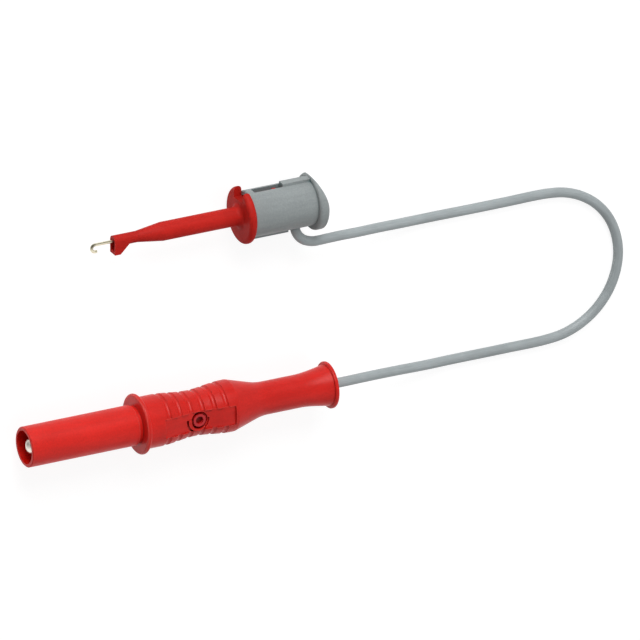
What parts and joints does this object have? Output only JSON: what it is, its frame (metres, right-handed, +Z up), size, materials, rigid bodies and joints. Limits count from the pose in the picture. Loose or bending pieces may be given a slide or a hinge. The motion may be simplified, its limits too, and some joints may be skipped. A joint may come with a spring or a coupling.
{
  "type": "test lead",
  "caption": "Test lead: a rigid-shrouded 4 mm safety plug with a ribbed grip, a thin flexible cable and a grabber whose sprung nose slides back to bare a small hook.",
  "frame": {"origin": "centre of the plug sleeve's open mouth, on the plug's axis", "axes": "+X along the plug's axis from the mouth towards the cable, +Y across to the grabber, +Z up from the surface that the lead lies on"},
  "size_m": [0.1618, 0.0631, 0.0148],
  "materials": {
    "shroud_plastic": "satin moulded red",
    "grip_plastic": "satin moulded red",
    "nose_plastic": "satin moulded red",
    "cap_plastic": "matt moulded grey",
    "cable_jacket": "matt flexible grey insulation",
    "nickel": "nickel-plated brass",
    "cage_bronze": "plated spring bronze",
    "gold_plate": "thin pale gold plating",
    "brass": "bare turned brass",
    "copper": "bare copper strands",
    "spring_steel": "drawn spring steel"
  },
  "bodies": {
    "lead": {"plug_shroud": "shroud_plastic", "grip_shell": "grip_plastic", "contact_pin": "nickel", "contact_cage": "cage_bronze", "plug_conductor": "copper", "plug_cable_end": "cable_jacket", "cable": "cable_jacket", "cap_cable_end": "cable_jacket", "cap_conductor": "copper", "plunger_cap": "cap_plastic", "plunger_stem": "brass", "hook_wire": "gold_plate", "return_spring": "spring_steel"},
    "nose": {"nose_body": "nose_plastic"}
  },
  "joints": [
    {"name": "nose_slide", "type": "slide", "parent": "lead", "child": "nose", "axis": [-1, 0, 0], "range_m": [0, 0.0053], "stiffness_N_per_m": 280, "springref_m": 0.0103, "deforming": ["return_spring"]}
  ]
}
